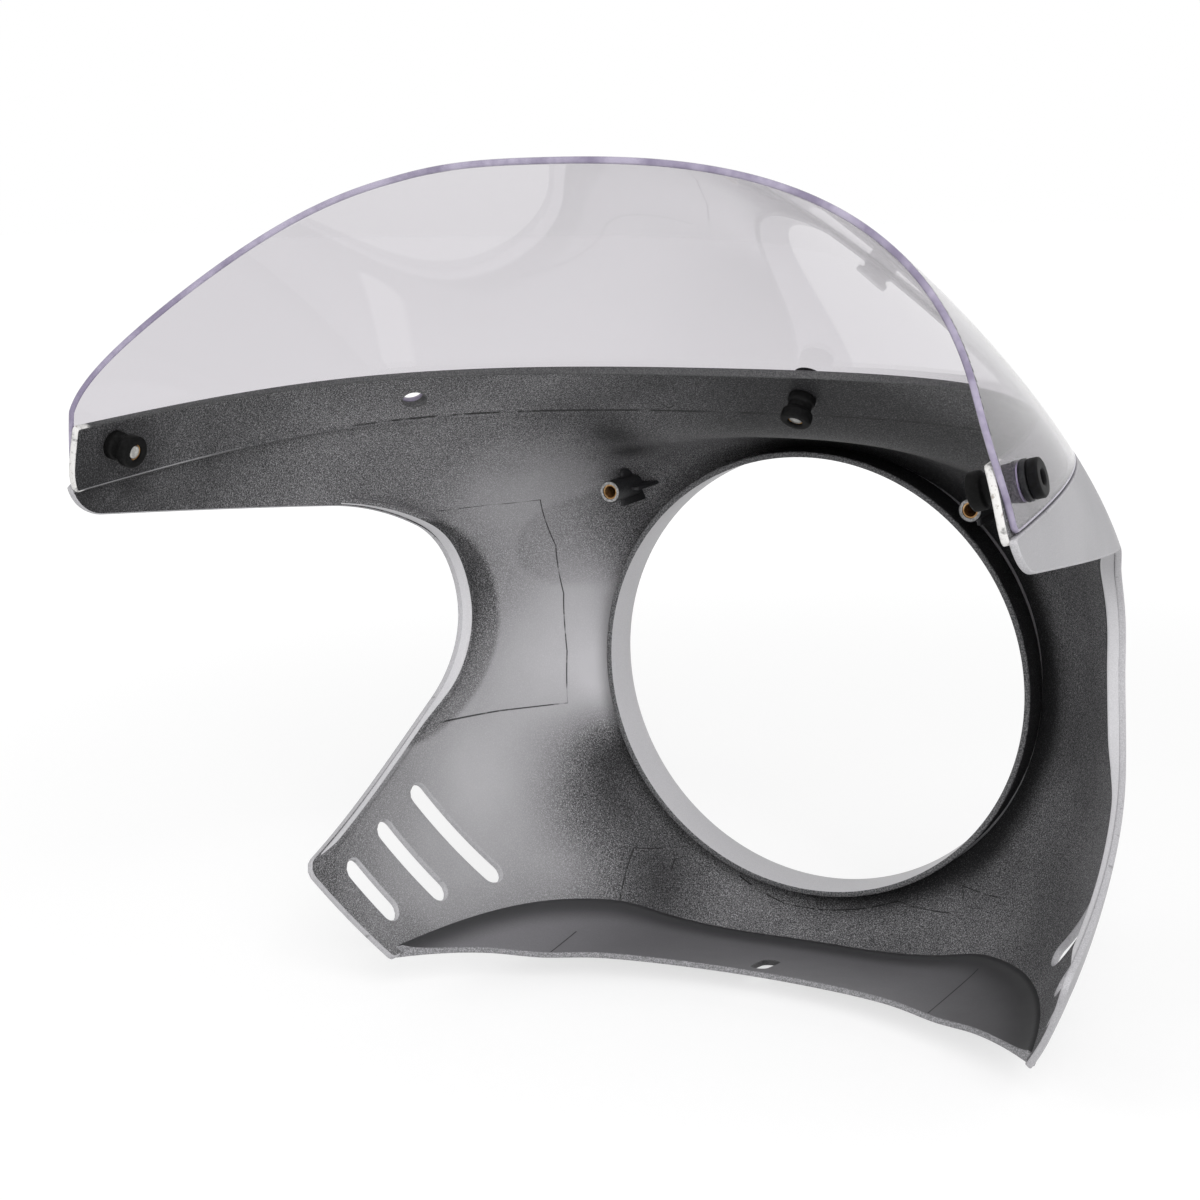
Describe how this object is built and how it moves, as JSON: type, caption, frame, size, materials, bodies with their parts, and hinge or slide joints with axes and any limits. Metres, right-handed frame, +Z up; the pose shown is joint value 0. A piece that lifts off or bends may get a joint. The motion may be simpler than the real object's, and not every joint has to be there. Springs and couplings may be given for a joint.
{
  "type": "motorcycle windscreen",
  "caption": "Motorcycle headlamp fairing with a clear bubble windscreen, handlebar cut-outs and slotted lower wings, fixed round a round headlamp.",
  "frame": {"origin": "centre of the headlamp opening, on the rear rim of its collar", "axes": "+X to the rider's right, +Y forwards along the headlamp axis, +Z up"},
  "size_m": [0.3474, 0.2704, 0.3373],
  "materials": {
    "fairing_plastic": "dark grey moulding with silver-grey overspray",
    "clear_screen": "clear, with faint lilac edges",
    "black_rubber": "matt black",
    "insert_brass": "dull brass",
    "black_screw": "black, slightly glossy",
    "washer_nylon": "dark grey"
  },
  "bodies": {
    "root": {"fairing_shell": "fairing_plastic", "windscreen": "clear_screen", "well_nuts": "black_rubber", "well_nut_inserts": "insert_brass", "windscreen_screws": "black_screw", "screw_washers": "washer_nylon", "boss_inserts": "insert_brass"}
  },
  "joints": []
}
